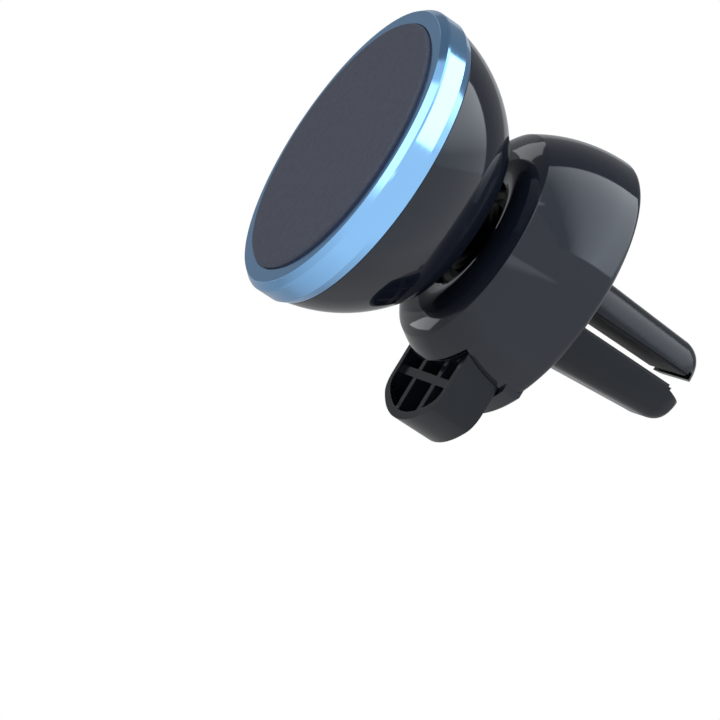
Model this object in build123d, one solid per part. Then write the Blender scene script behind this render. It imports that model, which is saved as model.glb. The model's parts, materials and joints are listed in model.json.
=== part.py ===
"""Magnetic car phone mount that clips onto an air-vent blade.

Millimetres.  The origin is the middle of the magnetic pad's front face, where the phone rests.
+Y runs back from the phone through the ball joint into the vent, +Z is up and +X is sideways.
"""
import os
from math import cos, radians, sin, sqrt

from build123d import *

os.makedirs("parts", exist_ok=True)

# ---- driving dimensions ---------------------------------------------------------------------
# magnetic head
PAD_R = 20.0              # the pad covers a standard 40 mm steel plate
PAD_T = 1.3
PAD_EDGE = 0.3            # small chamfer round the pad's face
TAPE_T = 0.2
RING_R = 23.1             # largest radius of the blue ring
RING_Y0 = 0.58            # the ring's front face lies a little behind the pad's face
RING_Y1 = 5.69
RING_BORE_R = 20.18
DOME_R = 22.96            # the head's back is a sphere about DOME_Y
DOME_Y = 1.28
DOME_WALL = 1.7
DOME_CUT_R = 14.2         # inside this radius the dome's back is a flatter cone
DOME_BACK_Y = 20.15
HEAD_HOLE_R = 6.6
SPIGOT_R = 21.5
SPIGOT_Y = 1.72
DOME_START_Y = 5.79       # the dome starts just behind the ring
DOME_CONE_R = 8.6         # the flatter cone ends at this radius
SCREW_BOSS_R = 2.3
SCREW_BOSS_Y = (5.05, 14.0)
CUP_HOUSING_R = 10.5      # tube that the cup turns in
CUP_HOUSING_Y0 = 7.6
CARRIER_ROOM = (20.0, 5.5)    # radius and back face of the space for carrier and yoke
HOLLOW_Y0 = 4.9

CARRIER_R = 19.85
CARRIER_Y = (1.5, 4.2)
MAGNET_R = 4.0
MAGNET_T = 2.0
MAGNET_PCD_R = 12.6
MAGNET_COUNT = 6
YOKE_T = 0.8

# ball joint
BALL_Y = 13.5
BALL_R = 6.0
LINER_R = (6.08, 6.92)    # inner and outer radius of the liner's spherical shell
CUP_BORE_R = 7.0
CUP_R = 8.6
CUP_Y = (5.9, 17.8)
CUP_FLANGE = (10.2, 7.5)  # radius and back face of the cup's flange
CAP_R = 7.4
CAP_BACK_Y = 8.4
NECK_R = 2.4
STUD_THREAD_R = 2.5
STUD_END_Y = 31.6
FLANGE_R = 5.6
RUN = 0.08                # running clearance of turned fits
FIT = 0.05                # clearance between pieces that don't move on each other

# barrel
LIP_Y = 22.5              # crest of the broad rounded lip
LIP_R = 12.0
LIP_ROLL_R = 7.5          # radius of the lip's cross-section
LIP_END_ANGLE = 50        # slope of the lip, in degrees, where it meets the flared wall
LIP_EDGE_R = 0.3          # rounding of the edge between lip and wall
DISH_R = 8.6              # edge of the dish's deep centre
WALL_POINTS = ((18.9, 28.2), (20.3, 32.9))
BARREL_END = (20.75, 38.15)
BARREL_EDGE_R = 1.0
BARREL_WALL = 1.8
FLOOR_Y = (25.8, 27.6)    # front and back face of the dish's floor
INSERT_T = 0.4            # thickness of the trim cup under the stud's flange

# clamp
REAR_PLATE_Y = (35.7, 37.3)
REAR_PLATE_R = 18.7
JAW_ROOT = (33.0, 7.4, 5.5, -10.4)    # y, half width, top and bottom of the bar at its root
JAW_NOSE = (59.6, 6.9, 4.2, -8.35)    # the same where its rounded nose starts
JAW_TIP_Y = 62.6
JAW_NOSE_INSET = 2.4      # how far the nose's outline draws in at the tip
JAW_CORNER_R = 4.8
UPPER_FACE_Z = -0.25      # the upper jaw's underside
UPPER_PAD_Z = (-0.58, 0.5)
LOWER_FACE_Z = -3.25      # the lower jaw's top
LOWER_PAD_Z = (-4.2, -2.85)
NOSE_SLOPE = 16           # degrees that the lower jaw's nose slopes down
HOOK_T = 0.9              # lip at the end of the upper jaw
HOOK_DEPTH = 0.55
JAW_PAD_HALF_W = 6.2
UPPER_PAD_Y = (38.2, 60.9)
LOWER_PAD_Y = (38.2, 59.6)
PIVOT_Y = 30.5
PIVOT_Z = -11.2
BOSS_R = 2.5              # bosses round the pivot on the lever and on the frame
PIVOT_R = 1.5
CHEEK_X = (3.7, 7.3)      # the lever's two cheeks
EAR_X = (7.7, 9.2)        # the frame's two ears outside them
SPRING_Y = 33.9
SPRING_Z = (-15.15, -10.72)   # bottom and top of the spring
SPRING_R = 1.2
SPRING_WIRE_R = 0.25
SPRING_TURNS = 4.5
SHELF = (3.2, 31.4, -16.2, -15.2)     # half width, front, bottom and top of the spring's shelf
SHELF_ROOT_Z = (-16.6, -12.6)
JAW_WINDOW = (8.1, -12.6, -1.5)       # half width, bottom and top of the plate's opening for the lever
CHEEK_BACK_Y = 34.6
CHEEK_TOP_Z = -8.0
CHEEK_FRONT = 0.9             # how far the cheeks' lower part reaches in front of the pivot
JAW_FRONT_Y = 33.2
BRIDGE = (32.4, 34.8, -9.9, -5.4)     # front, back, bottom and top of the web that joins the cheeks

# foot of the release lever
FOOT_HALF_W = 11.0
FOOT_Y = (28.8, 35.25)
FOOT_TOP_R = 16.8         # the foot's top follows the inside of the barrel
FOOT_BOTTOM_Z = -27.75
FOOT_ARC_R = 16.4
FOOT_CORNER_R = 3.7
FOOT_WALL = 1.25
FOOT_GAP = 0.18           # gap round the foot in the barrel's cut-out
LEVER_TRAVEL = 7.0        # degrees that the lever swings to open the jaws
GUARD_R = 21.45           # band behind the foot that stands proud of the barrel
GUARD_HALF_W = 12.5
RIB_T = 1.3
RIB_X = (-3.8, 3.8)
RIB_Z = -20.5
RIB_RECESS = 0.7

SCREW_R = 1.0
SCREW_HEAD_R = 1.8
SCREW_HEAD_T = 0.9
SCREW_RECESS = (2.0, 0.45)     # length and width of the cross recess
HEAD_SCREW_TIP_Y = 9.8
FRAME_SCREW_TIP_Y = 30.0
HEAD_SCREW_PCD_R = 17.3
FRAME_SCREWS = ((0.0, 15.3), (14.4, -4.6), (-14.4, -4.6))


# ---- helpers --------------------------------------------------------------------------------
def save(shape, name):
    """Write one node's STEP file."""
    export_step(shape, os.path.join("parts", name + ".step"))


def turned(*edges):
    """Solid of revolution about Y from edges drawn as (radius, y) in the XY plane."""
    face = make_face(Wire(list(edges)))
    return revolve(face, Axis.Y)


def turned_poly(*points):
    """Solid of revolution about Y from a closed polygon of (radius, y) points."""
    return turned(*Polyline(*points, close=True).edges())


def disc(r, y0, y1, x=0.0, z=0.0):
    """Cylinder along Y between y0 and y1."""
    return Pos(x, (y0 + y1) / 2, z) * Rot(90, 0, 0) * Cylinder(r, y1 - y0)


def tube(r_in, r_out, y0, y1, x=0.0, z=0.0):
    """Tube along Y."""
    return disc(r_out, y0, y1, x, z) - disc(r_in, y0 - 1, y1 + 1, x, z)


def block(x0, x1, y0, y1, z0, z1):
    """Box between two corners."""
    return Pos((x0 + x1) / 2, (y0 + y1) / 2, (z0 + z1) / 2) * Box(x1 - x0, y1 - y0, z1 - z0)


def cross_pin(r, x0, x1, y, z):
    """Cylinder along X."""
    return Pos((x0 + x1) / 2, y, z) * Rot(0, 90, 0) * Cylinder(r, x1 - x0)


def ball(r, y):
    return Pos(0, y, 0) * Sphere(r)


def on_circle(r, count, start=0.0):
    """Places spaced evenly on a circle about Y."""
    for i in range(count):
        a = radians(start + 360 * i / count)
        yield r * cos(a), r * sin(a)


def one(shape):
    """The single solid of a result that may come back wrapped in a list."""
    solids = shape.solids()
    return solids[0] if len(solids) == 1 else Compound(children=list(solids))


def pan_screw(x, z, y_head, y_tip, towards):
    """Screw along Y: a pan head with a cross recess at y_head and a shank to y_tip."""
    back = y_head + towards * SCREW_HEAD_T
    head = disc(SCREW_HEAD_R, *sorted((y_head, back)), x, z)
    head = chamfer(head.edges().group_by(Axis.Y)[0 if towards > 0 else -1], 0.3)
    shank = disc(SCREW_R - 0.02, *sorted((back, y_tip)), x, z)
    length, width = SCREW_RECESS
    slot_a = Pos(x, y_head, z) * Box(length, SCREW_HEAD_T, width)
    slot_b = Pos(x, y_head, z) * Box(width, SCREW_HEAD_T, length)
    return one(head + shank - slot_a - slot_b)


# ---- magnetic head --------------------------------------------------------------------------
def front_pad():
    pad = disc(PAD_R, 0, PAD_T)
    return chamfer(pad.edges().group_by(Axis.Y)[0], PAD_EDGE)


def pad_tape():
    """Double-sided tape that holds the rubber pad on the carrier."""
    return disc(PAD_R - 0.5, PAD_T, PAD_T + TAPE_T)


def bezel_ring():
    """Ring with a flat front, a narrow front chamfer, a wide wall and a rear chamfer."""
    return turned_poly(
        (RING_BORE_R, RING_Y0), (22.24, RING_Y0), (22.98, 1.45), (RING_R, 1.75),
        (RING_R, 4.48), (22.55, RING_Y1), (SPIGOT_R + FIT, RING_Y1),
        (SPIGOT_R + FIT, SPIGOT_Y - FIT), (RING_BORE_R, SPIGOT_Y - FIT))


def dome_at(r, wall=0.0):
    """Y of the dome's surface, or of its inner face, at a radius."""
    return DOME_Y + sqrt((DOME_R - wall) ** 2 - r ** 2)


def head_shell():
    """Domed shell with a front spigot for the ring, a bore for the cup and three screw bosses."""
    start_r = sqrt(DOME_R ** 2 - (DOME_START_Y - DOME_Y) ** 2)
    cut_y = dome_at(DOME_CUT_R)
    mid_r = DOME_R * cos(radians(32))
    mid_y = DOME_Y + DOME_R * sin(radians(32))
    outer = turned(
        Line((0, SPIGOT_Y), (SPIGOT_R, SPIGOT_Y)),
        Line((SPIGOT_R, SPIGOT_Y), (SPIGOT_R, DOME_START_Y)),
        Line((SPIGOT_R, DOME_START_Y), (start_r, DOME_START_Y)),
        ThreePointArc((start_r, DOME_START_Y), (mid_r, mid_y), (DOME_CUT_R, cut_y)),
        Line((DOME_CUT_R, cut_y), (DOME_CONE_R, DOME_BACK_Y)),
        Line((DOME_CONE_R, DOME_BACK_Y), (0, DOME_BACK_Y)),
        Line((0, DOME_BACK_Y), (0, SPIGOT_Y)))
    hollow = ball(DOME_R - DOME_WALL, DOME_Y) & block(-30, 30, HOLLOW_Y0, DOME_BACK_Y - DOME_WALL, -30, 30)
    hollow += disc(CARRIER_ROOM[0], 0, CARRIER_ROOM[1])
    shell = outer - hollow
    bosses = disc(CUP_HOUSING_R, CUP_HOUSING_Y0, DOME_BACK_Y - 0.5)
    for x, z in on_circle(HEAD_SCREW_PCD_R, 3, 30):
        bosses += disc(SCREW_BOSS_R, *SCREW_BOSS_Y, x, z)
    shell += bosses & ball(DOME_R - DOME_WALL / 2, DOME_Y)
    shell -= disc(CUP_R + RUN, 0, CUP_Y[1] + 0.4)
    shell -= disc(HEAD_HOLE_R, 0, 30)
    for x, z in on_circle(HEAD_SCREW_PCD_R, 3, 30):
        shell -= disc(SCREW_R, 4, 10.2, x, z)
    return one(shell)


def magnet_carrier():
    """Disc with a pocket for each magnet, clearance holes for the screws and a stiffening web."""
    carrier = disc(CARRIER_R, *CARRIER_Y)
    for x, z in on_circle(MAGNET_PCD_R, MAGNET_COUNT):
        carrier -= disc(MAGNET_R + FIT, 0, CARRIER_Y[0] + MAGNET_T + 0.1, x, z)
    for x, z in on_circle(HEAD_SCREW_PCD_R, 3, 30):
        carrier -= disc(SCREW_R + 0.1, 0, 9, x, z)
        carrier -= disc(SCREW_HEAD_R + 0.1, 0, CARRIER_Y[0] + SCREW_HEAD_T, x, z)
    carrier -= disc(5.0, 2.7, 9)
    return one(carrier)


def magnets():
    y0 = CARRIER_Y[0] + 0.05
    return Compound(children=[
        one(chamfer(disc(MAGNET_R, y0, y0 + MAGNET_T, x, z).edges().filter_by(GeomType.CIRCLE), 0.2))
        for x, z in on_circle(MAGNET_PCD_R, MAGNET_COUNT)])


def yoke_plate():
    """Steel plate behind the magnets, which closes their field and holds the cup's flange."""
    plate = disc(CARRIER_R - 0.15, CARRIER_Y[1], CARRIER_Y[1] + YOKE_T)
    for x, z in on_circle(HEAD_SCREW_PCD_R, 3, 30):
        plate -= disc(SCREW_R + 0.1, 0, 9, x, z)
    return one(plate - disc(3.0, 0, 9))


def head_screws():
    y0 = CARRIER_Y[0]
    return Compound(children=[
        pan_screw(x, z, y0, HEAD_SCREW_TIP_Y, 1) for x, z in on_circle(HEAD_SCREW_PCD_R, 3, 30)])


def spin_washer():
    return tube(7.7, 10.1, CARRIER_Y[1] + YOKE_T + FIT, CUP_Y[0] - RUN)


# ---- ball joint -----------------------------------------------------------------------------
def socket_cup():
    """Cup that turns in the head about Y and holds the lined ball."""
    cup = disc(CUP_R, *CUP_Y) + disc(CUP_FLANGE[0], CUP_Y[0], CUP_FLANGE[1])
    cup -= ball(CUP_BORE_R, BALL_Y)
    cup -= disc(CUP_BORE_R, CAP_BACK_Y, BALL_Y)
    cup -= disc(CAP_R + FIT, 0, CAP_BACK_Y)
    cup -= turned_poly((0, BALL_Y + 3), (5.0, BALL_Y + 3), (6.4, CUP_Y[1] + 0.01), (0, CUP_Y[1] + 0.01))
    return one(cup)


def cup_cap():
    """Screwed plug that closes the cup's front and sets the joint's friction."""
    cap = disc(CAP_R, CUP_Y[0], CAP_BACK_Y) - ball(CUP_BORE_R, BALL_Y)
    for x in (-5.0, 5.0):
        cap -= disc(0.6, 0, CUP_Y[0] + 0.9, x, 0)
    return one(cap)


def ball_liner():
    """Thin spherical shell round the ball, open at the back, with four slits that let it snap on."""
    inner, outer = LINER_R
    edge_y = BALL_Y + 3.4
    liner = ball(outer, BALL_Y) - ball(inner, BALL_Y) - block(-9, 9, edge_y, edge_y + 9, -9, 9)
    liner -= block(-9, 9, BALL_Y - 1, edge_y + 1, -0.35, 0.35)
    liner -= block(-0.35, 0.35, BALL_Y - 1, edge_y + 1, -9, 9)
    return one(liner)


def ball_stud():
    """Ball, neck, flange and threaded shank in one turned piece."""
    neck_start = BALL_Y + sqrt(BALL_R ** 2 - NECK_R ** 2)
    front = BALL_Y - BALL_R
    flange_back = FLOOR_Y[0] - INSERT_T
    return turned(
        Line((0, front), (0, STUD_END_Y)),
        Line((0, STUD_END_Y), (STUD_THREAD_R - 0.4, STUD_END_Y)),
        Line((STUD_THREAD_R - 0.4, STUD_END_Y), (STUD_THREAD_R, STUD_END_Y - 0.4)),
        Line((STUD_THREAD_R, STUD_END_Y - 0.4), (STUD_THREAD_R, flange_back)),
        Line((STUD_THREAD_R, flange_back), (FLANGE_R, flange_back)),
        Line((FLANGE_R, flange_back), (FLANGE_R, flange_back - 1.0)),
        Line((FLANGE_R, flange_back - 1.0), (FLANGE_R - 0.6, flange_back - 1.5)),
        ThreePointArc((FLANGE_R - 0.6, flange_back - 1.5), (3.1, 23.2), (NECK_R, 21.8)),
        Line((NECK_R, 21.8), (NECK_R, neck_start)),
        ThreePointArc((NECK_R, neck_start), (BALL_R, BALL_Y), (0, front)))


def dish_insert():
    """Matt trim cup at the bottom of the dish, clamped under the stud's flange."""
    floor = FLOOR_Y[0]
    hole = STUD_THREAD_R + 0.15
    rim_r = DISH_R - 0.75
    return turned_poly(
        (hole, floor), (hole, floor - INSERT_T), (rim_r - 1.2, floor - INSERT_T),
        (rim_r - 0.5, floor - 1.0), (rim_r, floor - 1.0), (rim_r, floor))


def stud_washer():
    return tube(STUD_THREAD_R + 0.1, 5.2, FLOOR_Y[1], FLOOR_Y[1] + 0.6)


def stud_nut():
    y0 = FLOOR_Y[1] + 0.6
    body = Pos(0, y0 + 1.2, 0) * Rot(90, 0, 0) * extrude(RegularPolygon(4.2, 6), 1.2, both=True)
    nut = body - disc(STUD_THREAD_R + 0.02, y0 - 1, y0 + 4)
    return one(nut & ball(4.75, y0 + 1.2))


# ---- barrel ---------------------------------------------------------------------------------
def about_pivot(shape, angle):
    """The shape turned about the lever's pivot."""
    return Pos(0, PIVOT_Y, PIVOT_Z) * Rot(angle, 0, 0) * Pos(0, -PIVOT_Y, -PIVOT_Z) * shape


def lip_point(angle):
    """Point (r, y) on the lip where its surface slopes by an angle from the barrel's axis."""
    a = radians(angle)
    return LIP_R + LIP_ROLL_R * cos(a), LIP_Y + LIP_ROLL_R - LIP_ROLL_R * sin(a)


def barrel_outside():
    """Half section of the barrel as if solid: the lip, the flared wall and a rounded back edge."""
    end_r, end_y = BARREL_END
    lip_end = lip_point(LIP_END_ANGLE)
    lip_mid = lip_point((90 + LIP_END_ANGLE) / 2)
    wall_end = (end_r, end_y - BARREL_EDGE_R)
    profile = make_face(Wire([
        Line((0, LIP_Y), (LIP_R, LIP_Y)),
        ThreePointArc((LIP_R, LIP_Y), lip_mid, lip_end),
        Spline(lip_end, *WALL_POINTS, wall_end),
        Line(wall_end, (end_r, end_y)),
        Line((end_r, end_y), (0, end_y)),
        Line((0, end_y), (0, LIP_Y))]))
    back_edge = profile.vertices().filter_by(lambda v: v.X > end_r - 0.01 and v.Y > end_y - 0.01)
    profile = fillet(back_edge, BARREL_EDGE_R - 0.05)
    lip_edge = profile.vertices().filter_by(lambda v: abs(v.X - lip_end[0]) + abs(v.Y - lip_end[1]) < 0.02)
    return fillet(lip_edge, LIP_EDGE_R)


def barrel_dish():
    """Half section of the space in front: the lip's inner half and the dish's deep centre."""
    slope_mid = (LIP_R + DISH_R) / 2

    def slope_at(r):
        return LIP_Y + LIP_ROLL_R - sqrt(LIP_ROLL_R ** 2 - (LIP_R - r) ** 2)

    deep_start = (DISH_R, slope_at(DISH_R))
    deep_end = (DISH_R - 0.6, FLOOR_Y[0])
    return make_face(Wire([
        Line((0, LIP_Y - 1), (LIP_R, LIP_Y - 1)),
        Line((LIP_R, LIP_Y - 1), (LIP_R, LIP_Y)),
        ThreePointArc((LIP_R, LIP_Y), (slope_mid, slope_at(slope_mid)), deep_start),
        Line(deep_start, deep_end),
        Line(deep_end, (0, FLOOR_Y[0])),
        Line((0, FLOOR_Y[0]), (0, LIP_Y - 1))]))


def barrel_inside():
    """Half section of the hollow behind the dish's floor."""
    end_r, end_y = BARREL_END
    inner_r = end_r - BARREL_WALL
    return make_face(Wire([
        Line((0, FLOOR_Y[1]), (11.4, FLOOR_Y[1])),
        Line((11.4, FLOOR_Y[1]), (12.2, 25.8)),
        Line((12.2, 25.8), (14.9, 25.8)),
        Spline((14.9, 25.8), (17.1, 28.6), (18.5, 33.0), (inner_r, 35.5)),
        Line((inner_r, 35.5), (inner_r, end_y + 1)),
        Line((inner_r, end_y + 1), (0, end_y + 1)),
        Line((0, end_y + 1), (0, FLOOR_Y[1]))]))


def barrel_shell():
    """Flared barrel with a rounded front lip, a dish for the ball stud and a cut-out for the foot."""
    end_r, end_y = BARREL_END
    outside = barrel_outside()
    shell = revolve(outside - barrel_dish() - barrel_inside(), Axis.Y)
    for x, z in FRAME_SCREWS:
        shell += disc(2.4, 25.0, REAR_PLATE_Y[0], x, z) & revolve(outside, Axis.Y)
    guard = disc(GUARD_R, FOOT_Y[1] + FOOT_GAP, end_y - 0.05)
    guard &= block(-GUARD_HALF_W, GUARD_HALF_W, 30, 40, -30, -14)
    guard = chamfer(guard.edges().filter_by(GeomType.CIRCLE).group_by(Axis.Y)[-1], 0.35)
    shell += guard - disc(end_r - BARREL_WALL, 30, 40)
    half = FOOT_HALF_W + FOOT_GAP
    foot_room = block(-half, half, FOOT_Y[0] - FOOT_GAP, FOOT_Y[1] + FOOT_GAP, -40, -10)
    shell -= foot_room
    shell -= about_pivot(foot_room & block(-20, 20, 20, PIVOT_Y + 3, -40, -10), -LEVER_TRAVEL - 0.3)
    for x, z in FRAME_SCREWS:
        shell -= disc(SCREW_R, 29.0, 40, x, z)
    return one(shell - disc(STUD_THREAD_R + 0.1, 20, 30))


# ---- vent clamp -----------------------------------------------------------------------------
def jaw_section(y, half_w, top, bottom, corner):
    """Rounded rectangle across the jaws at a distance y."""
    plane = Plane(origin=(0, y, (top + bottom) / 2), x_dir=(1, 0, 0), z_dir=(0, 1, 0))
    return plane * RectangleRounded(2 * half_w, top - bottom, corner)


def jaw_bar():
    """The tapered bar with a rounded nose that both jaws are cut from."""
    y0, half_w, top, bottom = JAW_NOSE
    sections = []
    for angle in (0, 25, 45, 65, 80, 90):
        inset = JAW_NOSE_INSET * (1 - cos(radians(angle)))
        y = y0 + (JAW_TIP_Y - y0) * sin(radians(angle))
        sections.append(
            jaw_section(y, half_w - inset, top - inset, bottom + 0.7 * inset, JAW_CORNER_R - inset))
    return loft([jaw_section(*JAW_ROOT, JAW_CORNER_R), sections[0]]) + loft(sections)


def jaw_pad_box(y_span, z_span, grow=0.0):
    """A jaw's rubber pad, or the pocket that it sits in."""
    half = JAW_PAD_HALF_W + grow
    return block(-half, half, y_span[0] - grow, y_span[1] + grow, z_span[0], z_span[1] + grow / 2)


def clamp_frame():
    """Rear plate with the fixed upper jaw, the pivot's ears and the spring's shelf."""
    p0, p1 = REAR_PLATE_Y
    hook_y = JAW_TIP_Y - HOOK_T
    window_w, window_low, window_high = JAW_WINDOW
    shelf_w, shelf_front, shelf_low, shelf_high = SHELF
    frame = disc(REAR_PLATE_R, p0, p1)
    frame += jaw_bar() & block(-20, 20, p0, 70, UPPER_FACE_Z, 20)
    frame -= block(-20, 20, UPPER_PAD_Y[1] + 0.1, hook_y, UPPER_FACE_Z - 1, UPPER_FACE_Z + 0.5)
    frame += jaw_bar() & block(-20, 20, hook_y, 70, UPPER_FACE_Z - HOOK_DEPTH, UPPER_FACE_Z + 0.5)
    frame -= jaw_pad_box(UPPER_PAD_Y, UPPER_PAD_Z, FIT)
    frame -= block(-window_w, window_w, p0 - 1, p1 + 0.01, window_low, window_high)
    for side in (-1, 1):
        x0, x1 = sorted((side * EAR_X[0], side * EAR_X[1]))
        frame += block(x0, x1, PIVOT_Y, p0 + 0.5, PIVOT_Z - BOSS_R, PIVOT_Z + BOSS_R)
        frame += cross_pin(BOSS_R, x0, x1, PIVOT_Y, PIVOT_Z)
    frame += block(-shelf_w, shelf_w, shelf_front, p0 + 0.5, shelf_low, shelf_high)
    frame += block(-shelf_w, shelf_w, p0, p1, *SHELF_ROOT_Z)
    frame -= cross_pin(PIVOT_R + 0.02, -12, 12, PIVOT_Y, PIVOT_Z)
    for x, z in FRAME_SCREWS:
        frame -= disc(SCREW_R + 0.1, p0 - 1, p1 + 1, x, z)
        frame -= disc(SCREW_HEAD_R + 0.1, p1 - SCREW_HEAD_T, p1 + 1, x, z)
    return one(frame)


def upper_jaw_pad():
    return one(jaw_pad_box(UPPER_PAD_Y, UPPER_PAD_Z))


def lower_jaw_pad():
    return one(jaw_pad_box(LOWER_PAD_Y, LOWER_PAD_Z))


def frame_screws():
    return Compound(children=[
        pan_screw(x, z, REAR_PLATE_Y[1], FRAME_SCREW_TIP_Y, -1) for x, z in FRAME_SCREWS])


def pivot_pin():
    pin = cross_pin(PIVOT_R, -EAR_X[1] - 0.3, EAR_X[1] + 0.3, PIVOT_Y, PIVOT_Z)
    return one(chamfer(pin.edges().filter_by(GeomType.CIRCLE), 0.3))


def foot_outline(inset=0.0):
    """Front view of the foot in the XZ plane: straight sides and an arched bottom."""
    half = FOOT_HALF_W - inset
    bottom = FOOT_BOTTOM_Z + inset
    arc_r = FOOT_ARC_R - inset
    side_z = bottom + arc_r - sqrt(arc_r ** 2 - half ** 2)
    top_r = FOOT_TOP_R + inset
    top_z = -sqrt(top_r ** 2 - half ** 2)
    edges = [
        ThreePointArc((-half, top_z), (0, -top_r), (half, top_z)),
        Line((half, top_z), (half, side_z)),
        ThreePointArc((half, side_z), (0, bottom), (-half, side_z)),
        Line((-half, side_z), (-half, top_z))]
    face = make_face(Wire([e for curve in edges for e in curve.edges()]))
    low = face.vertices().filter_by(lambda v: v.Y < -18)
    return fillet(low, FOOT_CORNER_R - inset)


def foot_prism(inset, y0, y1):
    face = foot_outline(inset)
    return Rot(90, 0, 0) * extrude(Pos(0, 0, -y1) * face, y1 - y0)


def foot_block():
    """Hollow foot, open at the front, with a cross rib and two upright ribs set back from its rim."""
    y0, y1 = FOOT_Y
    foot = foot_prism(0.0, y0, y1)
    cavity = foot_prism(FOOT_WALL, y0 - 1, y1 - FOOT_WALL)
    ribs = block(-20, 20, y0 + RIB_RECESS, y1, RIB_Z - RIB_T / 2, RIB_Z + RIB_T / 2)
    for x in RIB_X:
        ribs += block(x - RIB_T / 2, x + RIB_T / 2, y0 + RIB_RECESS, y1, -40, 0)
    return foot - (cavity - ribs)


def release_lever():
    """Foot, two cheeks on the pivot and the moving lower jaw in one moulding."""
    top = LOWER_FACE_Z
    jaw = jaw_bar() & block(-20, 20, JAW_FRONT_Y, 70, -20, top)
    jaw -= Pos(0, LOWER_PAD_Y[1] + 0.1, top - 0.35) * Rot(-NOSE_SLOPE, 0, 0) * Pos(0, 5, 5) * Box(30, 10, 10)
    jaw -= Pos(0, 0, -FIT / 2) * jaw_pad_box(LOWER_PAD_Y, LOWER_PAD_Z, FIT)
    lever = foot_block() + jaw
    for side in (-1, 1):
        x0, x1 = sorted((side * CHEEK_X[0], side * CHEEK_X[1]))
        lever += cross_pin(BOSS_R, x0, x1, PIVOT_Y, PIVOT_Z)
        lever += block(x0, x1, PIVOT_Y - CHEEK_FRONT, CHEEK_BACK_Y, -FOOT_TOP_R - 0.1, PIVOT_Z)
        lever += block(x0, x1, PIVOT_Y, CHEEK_BACK_Y, PIVOT_Z, CHEEK_TOP_Z)
    lever += block(-CHEEK_X[1], CHEEK_X[1], *BRIDGE)
    lever -= cross_pin(PIVOT_R + RUN, -12, 12, PIVOT_Y, PIVOT_Z)
    return one(lever)


def lever_spring():
    """Compression spring between the frame's shelf and the underside of the lower jaw."""
    z0, z1 = SPRING_Z
    height = z1 - z0 - 2 * SPRING_WIRE_R
    coil = Helix(pitch=height / SPRING_TURNS, height=height, radius=SPRING_R)
    path = Pos(0, SPRING_Y, z0 + SPRING_WIRE_R) * coil
    start = Plane(origin=path @ 0, z_dir=path % 0)
    return one(sweep(start * Circle(SPRING_WIRE_R), path=path, is_frenet=True))


NODES = {
    "front_pad": front_pad, "pad_tape": pad_tape, "bezel_ring": bezel_ring, "head_shell": head_shell,
    "magnet_carrier": magnet_carrier, "magnets": magnets, "yoke_plate": yoke_plate,
    "head_screws": head_screws, "spin_washer": spin_washer,
    "socket_cup": socket_cup, "cup_cap": cup_cap, "ball_liner": ball_liner,
    "ball_stud": ball_stud, "dish_insert": dish_insert, "stud_washer": stud_washer,
    "stud_nut": stud_nut, "barrel_shell": barrel_shell, "clamp_frame": clamp_frame,
    "upper_jaw_pad": upper_jaw_pad, "frame_screws": frame_screws, "pivot_pin": pivot_pin,
    "lever_spring": lever_spring, "release_lever": release_lever, "lower_jaw_pad": lower_jaw_pad,
}

for node_name, make in NODES.items():
    save(make(), node_name)
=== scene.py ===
"""Looks of the magnetic air-vent phone mount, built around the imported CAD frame.

Metres.  +Y runs back from the phone pad into the vent, +Z is up, the release lever hangs below.
"""
import json
import math

import bpy
from mathutils import Matrix, Vector

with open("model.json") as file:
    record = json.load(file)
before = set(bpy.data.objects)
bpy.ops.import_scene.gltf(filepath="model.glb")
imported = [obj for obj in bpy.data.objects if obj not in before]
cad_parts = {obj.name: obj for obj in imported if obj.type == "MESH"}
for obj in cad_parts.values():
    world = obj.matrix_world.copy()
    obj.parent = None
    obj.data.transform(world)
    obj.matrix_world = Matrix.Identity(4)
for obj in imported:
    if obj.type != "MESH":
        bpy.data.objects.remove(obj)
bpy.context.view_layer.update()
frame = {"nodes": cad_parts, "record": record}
nodes = frame["nodes"]

# ---- camera ---------------------------------------------------------------------------------
MM = 0.001
LENS_MM = 175.0
CAMERA_DISTANCE = 487.0 * MM
AIM = Vector((4.6, 17.9, -24.0)) * MM
VIEW_RIGHT = Vector((0.329, 0.788, 0.520))
VIEW_UP = Vector((-0.119, -0.512, 0.851))


def make_camera():
    """A long lens beside and just below the mount, rolled as the picture is."""
    right = VIEW_RIGHT.normalized()
    back = right.cross(VIEW_UP).normalized()
    up = back.cross(right)
    data = bpy.data.cameras.new("camera")
    data.lens = LENS_MM
    data.sensor_width = 36.0
    data.clip_start = 0.01
    data.clip_end = 20.0
    camera = bpy.data.objects.new("camera", data)
    turn = Matrix((right, up, back)).transposed().to_4x4()
    camera.matrix_world = Matrix.Translation(AIM + back * CAMERA_DISTANCE) @ turn
    bpy.context.collection.objects.link(camera)
    bpy.context.scene.camera = camera


make_camera()

# ---- studio ---------------------------------------------------------------------------------
CENTRE = Vector((0, 20.0, -3.0)) * MM
OVERHEAD_HEIGHT = 0.6
FAR_SIDE = 0.95
FLOOR_Z = -0.095
REACH = 3.0
WHITE = (1.0, 1.0, 1.0)
GREY_BLUE = (0.94, 0.97, 1.0)
PANEL_DISTANCE = 0.7
SHEET_STEP = 0.001        # keeps two sheets apart
FAR_SIDE_Y = (-1.3, 1.6)
FAR_SIDE_TOP = 0.85
# outlines and fades of the two overhead sheets, in multiples of their height
SOFTBOX_OUTLINE = ((-0.2, -0.9), (0.75, -0.9), (2.2, -0.75), (2.2, 2.4), (-0.2, 2.4))
SOFTBOX_FADE = ((-0.45, 0.9), (-0.1, 2.4), (0.3, 3.5), (0.9, 3.0), (1.7, 1.3))
DIM_OUTLINE = ((-2.4, -2.2), (-0.18, -2.2), (-0.18, 2.6), (-2.4, 2.6))
DIM_FADE = ((-0.5, 0.22), (0.5, 0.28))
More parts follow.
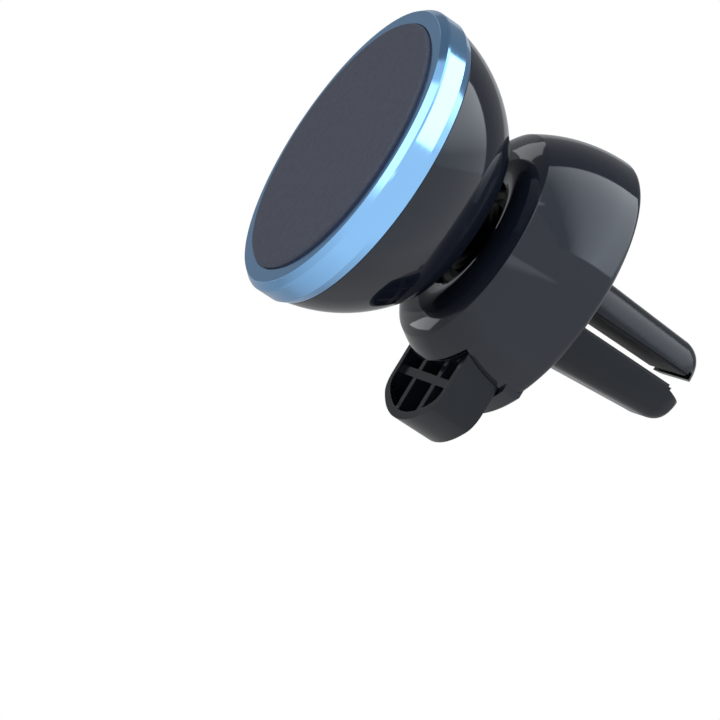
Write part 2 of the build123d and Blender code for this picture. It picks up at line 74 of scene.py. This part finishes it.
# fades of the others, in metres
FAR_SIDE_FADE = ((-0.4, 0.25), (0.1, 0.42), (0.5, 0.6))
FLOOR_FADE = ((-0.07, 0.42), (0.05, 1.0))
FLOOR_FRONT_FADE = ((-0.48, 1.8), (-0.24, 1.0))


def make_world():
    """Even white surroundings."""
    world = bpy.data.worlds.new("studio")
    world.use_nodes = True
    background = world.node_tree.nodes["Background"]
    background.inputs["Color"].default_value = (1, 1, 1, 1)
    background.inputs["Strength"].default_value = 1.0
    bpy.context.scene.world = world
    view = bpy.context.scene.view_settings
    view.view_transform = "Standard"
    view.look = "None"


def glowing(name, colour, axis, stops):
    """Emission whose strength changes along one axis; stops are (metres, strength)."""
    mat = bpy.data.materials.new(name)
    mat.use_nodes = True
    tree = mat.node_tree
    tree.nodes.clear()
    out = tree.nodes.new("ShaderNodeOutputMaterial")
    emit = tree.nodes.new("ShaderNodeEmission")
    emit.inputs["Color"].default_value = (*colour, 1)
    place = tree.nodes.new("ShaderNodeSeparateXYZ")
    coord = tree.nodes.new("ShaderNodeTexCoord")
    tree.links.new(coord.outputs["Object"], place.inputs[0])
    strength = None
    for (start, low), (end, high) in zip(stops, stops[1:]):
        step = tree.nodes.new("ShaderNodeMapRange")
        step.inputs["From Min"].default_value = start
        step.inputs["From Max"].default_value = end
        step.inputs["To Min"].default_value = low if strength is None else 0.0
        step.inputs["To Max"].default_value = high if strength is None else high - low
        tree.links.new(place.outputs[axis], step.inputs["Value"])
        if strength is None:
            strength = step.outputs["Result"]
            continue
        total = tree.nodes.new("ShaderNodeMath")
        tree.links.new(strength, total.inputs[0])
        tree.links.new(step.outputs["Result"], total.inputs[1])
        strength = total.outputs[0]
    tree.links.new(strength, emit.inputs["Strength"])
    tree.links.new(emit.outputs[0], out.inputs["Surface"])
    return mat


def sheet_light(name, corners, colour, axis, stops):
    """A flat lit sheet with the given corners that the camera doesn't see directly."""
    mesh = bpy.data.meshes.new(name)
    mesh.from_pydata([tuple(c) for c in corners], [], [tuple(range(len(corners)))])
    mesh.materials.append(glowing(name, colour, axis, stops))
    obj = bpy.data.objects.new(name, mesh)
    obj.visible_camera = False
    bpy.context.collection.objects.link(obj)
    return obj


def panel(name, azimuth, elevation, distance, width, height, strength):
    """An upright softbox in a direction from the object: azimuth 0 is in front, 90 is at +X."""
    az, el = math.radians(azimuth), math.radians(elevation)
    way = Vector((math.sin(az) * math.cos(el), -math.cos(az) * math.cos(el), math.sin(el)))
    side = Vector((math.cos(az), math.sin(az), 0)) * width / 2
    rise = way.cross(side).normalized() * height / 2
    centre = CENTRE + way * distance
    corners = [centre - side - rise, centre + side - rise, centre + side + rise, centre - side + rise]
    return sheet_light(name, corners, WHITE, "Z", even(strength))


def overhead(name, outline, height, colour, stops):
    """A level sheet overhead; its outline and stops are in multiples of its height."""
    corners = [CENTRE + Vector((x * height, y * height, height)) for x, y in outline]
    return sheet_light(name, corners, colour, "Y", [(place * height, value) for place, value in stops])


def level_sheet(name, x_span, y_span, z, axis, stops):
    """A level white sheet below the object."""
    (x0, x1), (y0, y1) = x_span, y_span
    corners = [Vector((x0, y0, z)), Vector((x1, y0, z)), Vector((x1, y1, z)), Vector((x0, y1, z))]
    return sheet_light(name, corners, WHITE, axis, stops)


def even(strength):
    """Stops for a sheet with the same strength everywhere."""
    return ((-1.0, strength), (1.0, strength))


def make_studio():
    """Overhead softbox cut off on its left, a dim far side, a floor and two boxes in front."""
    make_world()
    overhead("overhead_box", SOFTBOX_OUTLINE, OVERHEAD_HEIGHT, GREY_BLUE, SOFTBOX_FADE)
    overhead("overhead_dim", DIM_OUTLINE, OVERHEAD_HEIGHT + 0.01, GREY_BLUE, DIM_FADE)
    y0, y1 = FAR_SIDE_Y
    sheet_light("far_side", [Vector((-FAR_SIDE, y, z)) for y, z in (
        (y0, FLOOR_Z), (y1, FLOOR_Z), (y1, FAR_SIDE_TOP), (y0, FAR_SIDE_TOP))],
        GREY_BLUE, "Y", FAR_SIDE_FADE)
    level_sheet("floor", (-REACH, REACH), (-REACH, REACH), FLOOR_Z, "X", FLOOR_FADE)
    level_sheet("floor_front", (0.08, REACH), (-REACH, -0.22), FLOOR_Z + SHEET_STEP, "Y", FLOOR_FRONT_FADE)
    level_sheet("floor_left", (-0.33, -0.11), (-0.17, -0.06), FLOOR_Z + SHEET_STEP, "Y", even(1.8))
    panel("left_front_box", -64, 27, PANEL_DISTANCE, 0.2, 0.3, 1.1)
    panel("right_front_box", 22, 20, PANEL_DISTANCE, 0.34, 0.9, 2.2)


make_studio()


# ---- materials ------------------------------------------------------------------------------
class Mat:
    """A principled material with small helpers for procedural detail."""

    def __init__(self, name):
        self.mat = bpy.data.materials.new(name)
        self.mat.use_nodes = True
        self.tree = self.mat.node_tree
        self.bsdf = self.tree.nodes["Principled BSDF"]
        self.coord = self.tree.nodes.new("ShaderNodeTexCoord").outputs["Object"]

    def set(self, **values):
        for key, value in values.items():
            socket = self.bsdf.inputs[key.replace("_", " ")]
            if isinstance(value, tuple) and len(value) == 3:
                value = (*value, 1.0)
            socket.default_value = value
        return self

    def node(self, kind, **inputs):
        node = self.tree.nodes.new(kind)
        for key, value in inputs.items():
            if hasattr(value, "is_output"):
                self.tree.links.new(value, node.inputs[key.replace("_", " ")])
            else:
                node.inputs[key.replace("_", " ")].default_value = value
        return node

    def noise(self, scale, detail=3.0, roughness=0.5, vector=None):
        node = self.node("ShaderNodeTexNoise", Scale=scale, Detail=detail, Roughness=roughness)
        self.tree.links.new(vector or self.coord, node.inputs["Vector"])
        return node.outputs["Fac"]

    def ramp(self, value, *stops):
        node = self.tree.nodes.new("ShaderNodeValToRGB")
        self.tree.links.new(value, node.inputs["Fac"])
        elements = node.color_ramp.elements
        while len(elements) < len(stops):
            elements.new(0.5)
        for element, (place, colour) in zip(elements, stops):
            element.position = place
            element.color = (*colour, 1.0)
        return node.outputs["Color"]

    def span(self, value, low, high, out_low, out_high):
        node = self.node("ShaderNodeMapRange")
        self.tree.links.new(value, node.inputs["Value"])
        node.inputs["From Min"].default_value = low
        node.inputs["From Max"].default_value = high
        node.inputs["To Min"].default_value = out_low
        node.inputs["To Max"].default_value = out_high
        return node.outputs["Result"]

    def link(self, socket, name):
        self.tree.links.new(socket, self.bsdf.inputs[name])
        return self

    def bump(self, height, strength, distance, normal=None):
        node = self.node("ShaderNodeBump", Strength=strength, Distance=distance)
        self.tree.links.new(height, node.inputs["Height"])
        if normal:
            self.tree.links.new(normal, node.inputs["Normal"])
        self.tree.links.new(node.outputs["Normal"], self.bsdf.inputs["Normal"])
        return self


def moulded(name, dark, light, rough, grain=2600.0, grain_depth=0.00002, spread=0.03, edge=0.15,
            shine=0.5):
    """Moulded plastic: slight colour and gloss variation, fine grain and softened edges."""
    m = Mat(name)
    m.link(m.ramp(m.noise(90.0), (0.35, dark), (0.7, light)), "Base Color")
    m.link(m.span(m.noise(160.0, 5.0), 0.3, 0.7, rough - spread, rough + spread), "Roughness")
    rounded = m.node("ShaderNodeBevel", Radius=edge * MM).outputs["Normal"]
    m.bump(m.noise(grain, 2.0), 0.5, grain_depth, rounded)
    # reflections tinted blue: painted cool light on the plastic's reflections
    m.set(Specular_Tint=PAINTED_COOL_REFLECTION_TINT, Specular_IOR_Level=shine)
    return m.mat


def metal(name, colour, rough, scale=800.0, spread=0.06):
    """Plain metal with a slightly uneven finish."""
    m = Mat(name)
    darker = tuple(c * 0.82 for c in colour)
    m.link(m.ramp(m.noise(scale, 6.0), (0.3, darker), (0.7, colour)), "Base Color")
    m.link(m.span(m.noise(scale * 1.7, 4.0), 0.3, 0.7, rough - spread, rough + spread), "Roughness")
    m.set(Metallic=1.0)
    return m.mat


def turned_anodised(name, colour, rough):
    """Anodised aluminium with the faint rings that turning leaves."""
    m = Mat(name)
    split = m.node("ShaderNodeSeparateXYZ", Vector=m.coord)
    across = m.node("ShaderNodeCombineXYZ", X=split.outputs["X"], Y=split.outputs["Z"])
    radius = m.node("ShaderNodeVectorMath")
    radius.operation = "LENGTH"
    m.tree.links.new(across.outputs[0], radius.inputs[0])
    rings = m.node("ShaderNodeCombineXYZ", X=radius.outputs["Value"], Y=split.outputs["Y"])
    lines = m.noise(9000.0, 3.0, 0.6, rings.outputs[0])
    cloud = m.noise(60.0, 2.0)
    deeper = tuple(c * 0.94 for c in colour)
    m.link(m.ramp(cloud, (0.3, deeper), (0.7, colour)), "Base Color")
    m.link(m.span(lines, 0.3, 0.7, rough - 0.03, rough + 0.03), "Roughness")
    rounded = m.node("ShaderNodeBevel", Radius=0.06 * MM).outputs["Normal"]
    m.bump(lines, 0.25, 0.000004, rounded)
    m.set(Metallic=1.0)
    return m.mat


def rubber_with_painted_glints(name, dark, light, painted_glint_colour, rough):
    """Matt rubber with a sandy grain and scattered fine light specks painted into its colour: painted
    glints.
    """
    m = Mat(name)
    base = m.ramp(m.noise(1500.0, 4.0, 0.6), (0.3, dark), (0.7, light))
    # painted glints: sparse light specks mixed into the base colour in place of sparkle
    painted_glint_spots = m.span(m.noise(4200.0, 1.0), 0.74, 0.8, 0.0, 1.0)
    mix = m.node("ShaderNodeMix")
    mix.data_type = "RGBA"
    m.tree.links.new(painted_glint_spots, mix.inputs["Factor"])
    m.tree.links.new(base, mix.inputs[6])
    mix.inputs[7].default_value = (*painted_glint_colour, 1.0)
    m.link(mix.outputs[2], "Base Color")
    m.link(m.span(m.noise(700.0, 3.0), 0.3, 0.7, rough - 0.06, rough + 0.06), "Roughness")
    m.bump(m.noise(5200.0, 3.0), 0.6, 0.00005)
    # reflections tinted blue: painted cool light on the rubber's reflections
    m.set(Specular_Tint=PAINTED_COOL_REFLECTION_TINT)
    return m.mat


# blue tint on plastic and rubber reflections: painted cool light, not a colour of the plastic
PAINTED_COOL_REFLECTION_TINT = (0.86, 0.92, 1.0)
MATERIALS = {
    # pad rubber with painted glints in its colour
    "pad_rubber": rubber_with_painted_glints("pad_rubber", (0.032, 0.037, 0.058), (0.044, 0.050, 0.075),
        (0.30, 0.28, 0.26), 0.7),
    "blue_aluminium": turned_anodised("blue_aluminium", (0.27, 0.55, 0.93), 0.12),
    "gloss_black": moulded("gloss_black", (0.0045, 0.006, 0.011), (0.006, 0.008, 0.0135), 0.06,
        700.0, 0.000002, 0.015),
    "satin_black": moulded("satin_black", (0.005, 0.007, 0.010), (0.008, 0.010, 0.0135), 0.21, shine=0.3),
    "matte_black": moulded("matte_black", (0.003, 0.0035, 0.005), (0.004, 0.0045, 0.006), 0.45),
    "inner_plastic": moulded("inner_plastic", (0.030, 0.030, 0.033), (0.040, 0.040, 0.043), 0.5),
    "acetal": moulded("acetal", (0.70, 0.69, 0.64), (0.76, 0.75, 0.71), 0.35),
    "jaw_rubber": moulded("jaw_rubber", (0.003, 0.004, 0.006), (0.005, 0.006, 0.008), 0.55),
    "tape": moulded("tape", (0.45, 0.45, 0.46), (0.55, 0.55, 0.56), 0.8),
    "black_steel": metal("black_steel", (0.006, 0.007, 0.009), 0.5),
    "nickel": metal("nickel", (0.72, 0.70, 0.66), 0.12),
    "steel": metal("steel", (0.52, 0.52, 0.54), 0.3),
    "spring_steel": metal("spring_steel", (0.5, 0.5, 0.5), 0.25),
}
SLOT_OF = {row["node"]: row["material_slot"] for row in frame["record"]["subparts"]}
for node_name, obj in nodes.items():
    material = MATERIALS[SLOT_OF[node_name]]
    for material_slot in obj.material_slots:
        material_slot.material = material
